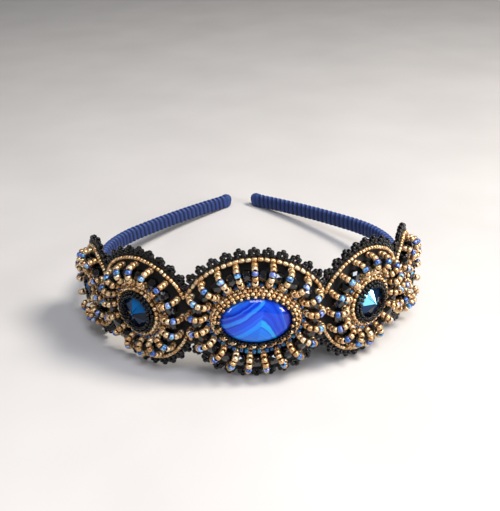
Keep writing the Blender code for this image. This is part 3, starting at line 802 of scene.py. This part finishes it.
def beadwork(medallion, side, gold, jet, cut, iris, capri):
    """All the beads of one medallion."""
    name = full_name(medallion, side)
    scale = medallion.bead
    d, h = CUT_RING[0] * scale, CUT_RING[1] * scale
    places, holes = arch_places(medallion, side, even_angles(medallion, d, medallion.arches))
    blue = np.zeros(places.shape[:2], bool)
    blue[:, BLUE_BEAD] = True
    size = ARCH_SEED * scale
    seed_beads(name + "_arch_gold", places[~blue], holes[~blue], size, gold, [name + "_arches"])
    seed_beads(name + "_arch_iris", places[blue], holes[blue], size, iris)

    t = even_angles(medallion, d, medallion.arches, 0.5)
    d = sagging(medallion, d, t)
    along = ring_axes(medallion, side, d, t, h)[1]
    fire_polished_beads(
        name + "_fire_polished", on_ring(medallion, side, d, t, h), along, cut,
        [name + "_faceted_beads"], scale,
    )
    d, h = FOOT_RING
    single = even_angles(medallion, d, medallion.arches, 0.5)
    pairs = np.concatenate([even_angles(medallion, d, medallion.arches, share) for share in FOOT_SHARES])
    t = np.concatenate([single[np.sin(single) > FOOT_PAIRS_BELOW], pairs[np.sin(pairs) <= FOOT_PAIRS_BELOW]])
    d = sagging(medallion, d, t)
    along = ring_axes(medallion, side, d, t, h)[1]
    places = on_ring(medallion, side, d, t, h)
    seed_beads(name + "_foot_beads", places, along, FOOT_SEED * scale, capri)
    bezel(name, medallion, side, gold, jet)
    outline_row(name, medallion, side, gold)


def bezel(name, medallion, side, gold, jet):
    """The woven bezel: rows of beads whose holes point up the wall, each row half a bead on from the last.
    Above the wall of gold beads the rows of the rim are small and black and lean in over the stone. Round
    the middle stone small black beads stand in the gaps between the gold ones as painted shade, the more so
    the nearer to the rim and the bottom, and the rim's row is all black at the bottom."""
    wall, rim = BEZELS[medallion.name]
    small = RIM_SEED * RIM_SCALE[medallion.name]
    places, holes, sizes, dark = [], [], [], []
    for number, (d, h) in enumerate(np.array(wall + rim) * MM):
        size = WALL_SEED if number < len(wall) else small
        count = 2 * round(ring_length(medallion, d) / (4 * WOVEN_ROOM * size[0]))
        t = even_angles(medallion, d, count, 0.5 * (number % 2))
        black = np.full(count, number >= len(wall))
        # Painted shade: black beads stand in the gaps between the gold ones round the middle stone
        if medallion is CENTRE:
            second = np.arange(count) % 2 == 1
            below = np.sin(t) < MIXED_BELOW[number]
            black = second & below if number < len(wall) else second | below
        outwards, _, face = ring_axes(medallion, side, d, t, h)
        lean = WALL_LEAN * number
        places.append(on_ring(medallion, side, d, t, h))
        holes.append(face * math.cos(lean) - outwards * math.sin(lean))
        sizes.append(np.where(black[:, None], small, size))
        dark.append(black)
    places, holes, sizes, dark = (np.concatenate(part) for part in (places, holes, sizes, dark))
    light = ~dark
    seed_beads(
        name + "_bezel_gold", places[light], holes[light], sizes[light], gold,
        [name + "_bezel"], GOLD_WOBBLE,
    )
    seed_beads(
        name + "_bezel_jet", places[dark], holes[dark], sizes[dark], jet, wobble=JET_WOBBLE
    )


def outline_row(name, medallion, side, gold):
    """One row of small gold beads, strung along the outline, which stops at the seams. The middle one's
    also stops where the lower arches reach the edge."""
    d, h = medallion.outline + OUTLINE_RING[0], OUTLINE_RING[1]
    size = np.array(OUTLINE_SEED[medallion.name]) * MM
    t = even_angles(medallion, d, round(ring_length(medallion, d) / (2 * STRUNG_ROOM * size[1])))
    t = t[within_seams(medallion, d, t, SEAM_SPARE)]
    if medallion is CENTRE:
        t = t[np.sin(t) > OUTLINE_STOPS]
    along = ring_axes(medallion, side, d, t, h)[1]
    seed_beads(name + "_outline", on_ring(medallion, side, d, t, h), along, size, gold)


def edge_runs():
    """The stretches of the outline between the valleys, as (medallion, side, first angle, last angle)."""
    runs = []
    for medallion, side in PLACES:
        d = medallion.outline
        inwards = math.acos(min(1, medallion.seam_in / (medallion.half_width + d)))
        if medallion is OUTER:
            runs.append((medallion, side, inwards - math.pi, math.pi - inwards))
        else:
            outwards = math.acos(min(1, medallion.seam_out / (medallion.half_width + d)))
            runs.append((medallion, side, outwards, math.pi - inwards))
            runs.append((medallion, side, inwards - math.pi, -outwards))
    return runs


def picot_edging(jet):
    """The edging: for each picot two beads stand side by side on the felt's edge, two more on them, and
    one lies across their tops. All beads are one row after another along the outline."""
    places, holes = [], []
    for medallion, side, first, last in edge_runs():
        t = np.linspace(first, last, PICOT_STEPS)
        run = run_along(medallion, medallion.outline + PICOT_RING, t)
        picots = max(2, round(run[-1] / PICOT_PITCH))
        for out, height, shares, standing in PICOT_ROWS:
            share = (np.arange(picots)[:, None] + np.array(shares)[None, :]).ravel() / picots
            angle = np.interp(share * run[-1], run, t)
            d, h = medallion.outline + out * MM, height * MM
            outwards, along, _ = ring_axes(medallion, side, d, angle, h)
            places.append(on_ring(medallion, side, d, angle, h))
            holes.append(outwards if standing else along)
    places, holes = np.concatenate(places), np.concatenate(holes)
    return seed_beads("picot_beads", places, holes, EDGE_SEED, jet, ["picot_edging"])


def cabochon(material):
    """The domed agate. Its height at r, the share of the way out, is one minus the cube of r, raised to a
    power a little under a half. Its ovals are r times as tall as the stone. What the stone is longer than
    it is tall shrinks by the root of r, so they close to a point in the middle. A straight wall and a flat
    back close it below."""
    r = np.sin(np.linspace(0.02, 1, DOME_RINGS) * math.pi / 2)
    t = 2 * math.pi * np.arange(DOME_SIDES) / DOME_SIDES
    longer = CENTRE.half_width - CENTRE.half_height
    h = DOME_LOW + (DOME_HIGH - DOME_LOW) * np.clip(1 - r ** 3, 0, 1) ** DOME_POWER
    u = (r * CENTRE.half_height + np.sqrt(r) * longer)[:, None] * np.cos(t)
    v = (r * CENTRE.half_height)[:, None] * np.sin(t)
    u, v = np.vstack([u, u[-1:]]), np.vstack([v, v[-1:]])
    points = on_strip(u, v, np.append(h, DOME_FOOT)[:, None])
    groups = [grid_faces(len(points), len(t), False, True), end_faces(len(points), len(t))]
    return make_piece(
        "centre_agate", points, groups, material, ["centre_cabochon"],
        pattern=np.stack([u, v], -1) / MM,
    )


def cut_crystal(medallion, side, material):
    """The pointed crystal: a tiny table, eight kites and sixteen girdle facets in front, a low wall, and
    a plain cone of facets behind, whose corners lie on five rings. Each facet has corners and a tone of
    its own: the facets that look to one side get a light tone as a painted reflection, the rest a darker one."""
    sides = CRYSTAL_SIDES
    radius = medallion.half_width - CRYSTAL_PLAY
    scale = radius / ROUND.half_width
    point = CRYSTAL_GIRDLE + CRYSTAL_RISE * scale
    star = point - CRYSTAL_RISE * scale * (CRYSTAL_STAR - CRYSTAL_TABLE) + STAR_LIFT * scale
    start = math.radians(PAINTED_REFLECTION_SIDE[side]) - math.pi / sides
    under = CRYSTAL_GIRDLE - CRYSTAL_WALL
    rings = (
        (CRYSTAL_TABLE, point, sides, 0), (CRYSTAL_STAR, star, sides, 0.5),
        (1.0, CRYSTAL_GIRDLE, 2 * sides, 0), (1.0, under, 2 * sides, 0),
        (CRYSTAL_BACK, under - CRYSTAL_DEPTH * scale, 2 * sides, 0),
    )
    rows = []
    for share, h, number, shift in rings:
        turn = start + 2 * math.pi * (np.arange(number) + shift) / number
        u, v = share * radius * np.cos(turn), share * radius * np.sin(turn)
        rows.append(on_strip(side * medallion.s + u, medallion.v + v, h))
    points = np.concatenate(rows)

    k, j = np.arange(sides), np.arange(2 * sides)
    before, j2 = (k - 1) % sides, (j + 1) % (2 * sides)
    rim, low, tip = 2 * sides, 4 * sides, 6 * sides
    groups = (
        k[None], np.stack([k, sides + before, rim + 2 * k, sides + k], -1),
        np.stack([sides + k, rim + 2 * k, rim + 2 * k + 1], -1),
        np.stack([sides + k, rim + 2 * k + 1, rim + (2 * k + 2) % (2 * sides)], -1),
        np.stack([rim + j, low + j, low + j2, rim + j2], -1),
        np.stack([low + j, tip + j, tip + j2, low + j2], -1), (tip + j[::-1])[None],
    )
    turns = (0 * k[:1], k, k + 0.25, k + 0.75, j / 2, j / 2, 0 * k[:1])
    loose, split, tones, first = [], [], [], 0
    for group, turn in zip(groups, turns):
        facing = np.cos(2 * math.pi * (turn - 0.5) / sides)
        dark = RANDOM.uniform(*DARK_TONES, len(group))
        # Painted reflection: facets that look to one side get a light tone, the rest a darker one at random
        light = PAINTED_REFLECTION_TONE[side] + RANDOM.uniform(*PAINTED_REFLECTION_SPREAD, len(group))
        loose.append(points[group].reshape(-1, 3))
        split.append(first + np.arange(group.size).reshape(group.shape))
        tones.append(np.repeat(np.where(facing > PAINTED_REFLECTION_WITHIN, light, dark), group.shape[1]))
        first += group.size
    name = full_name(medallion, side)
    return make_piece(
        name + "_cut_crystal", np.concatenate(loose), split, material, [name + "_crystal"],
        smooth=False, values={"tone": np.concatenate(tones)},
    )


# Stage

def floor(material):
    """A level square at the height where the headband rests."""
    mesh = bpy.data.meshes.new("floor")
    half = FLOOR_HALF
    corners = [(-half, -half, 0), (half, -half, 0), (half, half, 0), (-half, half, 0)]
    mesh.from_pydata(corners, [], [(0, 1, 2, 3)])
    mesh.materials.append(material)
    made = bpy.data.objects.new("floor", mesh)
    bpy.context.scene.collection.objects.link(made)


def softbox(name, place, aim, size, power, text):
    """A rectangular area light that looks from its place at its aim."""
    data = bpy.data.lights.new(name, "AREA")
    data.shape = "RECTANGLE"
    data.size, data.size_y = size
    data.energy = power
    data.color = colour(text)[:3]
    made = bpy.data.objects.new(name, data)
    bpy.context.scene.collection.objects.link(made)
    back = unit(np.array(place) - np.array(aim))
    right = unit(np.cross([0.0, 0.0, 1.0], back))
    turn = np.stack([right, np.cross(back, right), back], 1)
    made.matrix_world = Matrix.LocRotScale(place, Matrix(turn.tolist()).to_quaternion(), None)


def lights():
    """A soft light from the upper right, a weaker one above the camera, a narrow low one on each side that
    the stone and the glass mirror, and a pale room. The view shows colours as they are, without a film
    curve, so that the blues stay as full as in the real one."""
    for name, place, size, power, text in SOFTBOXES:
        softbox(name, place, LIGHT_AIM, size, power, text)
    world = bpy.data.worlds.new("room")
    world.use_nodes = True
    background = world.node_tree.nodes["Background"]
    background.inputs["Color"].default_value = colour(ROOM_COLOUR)
    background.inputs["Strength"].default_value = ROOM_STRENGTH
    bpy.context.scene.world = world
    bpy.context.scene.view_settings.view_transform = "Standard"


def camera():
    """The camera stands where the photograph was taken from. Its axes are worked out in the band's own
    axes and then turned with the band."""
    e, yaw = CAMERA_ELEVATION, CAMERA_YAW
    look = np.array([math.sin(yaw) * math.cos(e), math.cos(yaw) * math.cos(e), -math.sin(e)])
    right = np.array([math.cos(yaw), -math.sin(yaw), 0.0])
    up = np.cross(right, look)
    rolled_right = math.cos(CAMERA_ROLL) * right + math.sin(CAMERA_ROLL) * up
    rolled_up = math.cos(CAMERA_ROLL) * up - math.sin(CAMERA_ROLL) * right
    place = to_row(CAMERA_AIM - CAMERA_DISTANCE * look)
    turn = np.stack([rolled_right @ AXES, rolled_up @ AXES, -look @ AXES], 1)
    data = bpy.data.cameras.new("camera")
    data.sensor_width = SENSOR_MM
    data.lens = LENS_PIXELS * SENSOR_MM / IMAGE_HEIGHT_PIXELS
    data.clip_start = NEAREST_SEEN
    made = bpy.data.objects.new("camera", data)
    made.matrix_world = Matrix.LocRotScale(place.tolist(), Matrix(turn.tolist()).to_quaternion(), None)
    bpy.context.scene.collection.objects.link(made)
    bpy.context.scene.camera = made


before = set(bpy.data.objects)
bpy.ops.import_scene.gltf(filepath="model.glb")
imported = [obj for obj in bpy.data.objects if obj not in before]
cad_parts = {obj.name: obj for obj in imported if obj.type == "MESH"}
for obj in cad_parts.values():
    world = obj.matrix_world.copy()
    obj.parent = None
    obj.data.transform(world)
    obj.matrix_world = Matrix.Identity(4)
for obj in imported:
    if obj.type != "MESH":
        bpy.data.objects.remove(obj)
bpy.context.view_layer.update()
AXES, ORIGIN = band_axes()

camera()
lights()
floor(make_material(matt_painted_board))
wound_band(make_material(wound_satin_cord))
felt_strip(make_material(pressed_wool_felt))
JET = make_material(jet_glass_seed)
picot_edging(JET)
GOLD = make_material(galvanised_gold_glass)
CUT, IRIS, CAPRI = map(make_material, (fire_polished_jet, iris_sapphire_glass, capri_blue_glass))
for medallion, side in PLACES:
    beadwork(medallion, side, GOLD, JET, CUT, IRIS, CAPRI)
cabochon(make_material(polished_banded_agate))
CRYSTAL = make_material(foiled_blue_crystal)
for medallion, side in PLACES:
    if medallion is not CENTRE:
        cut_crystal(medallion, side, CRYSTAL)
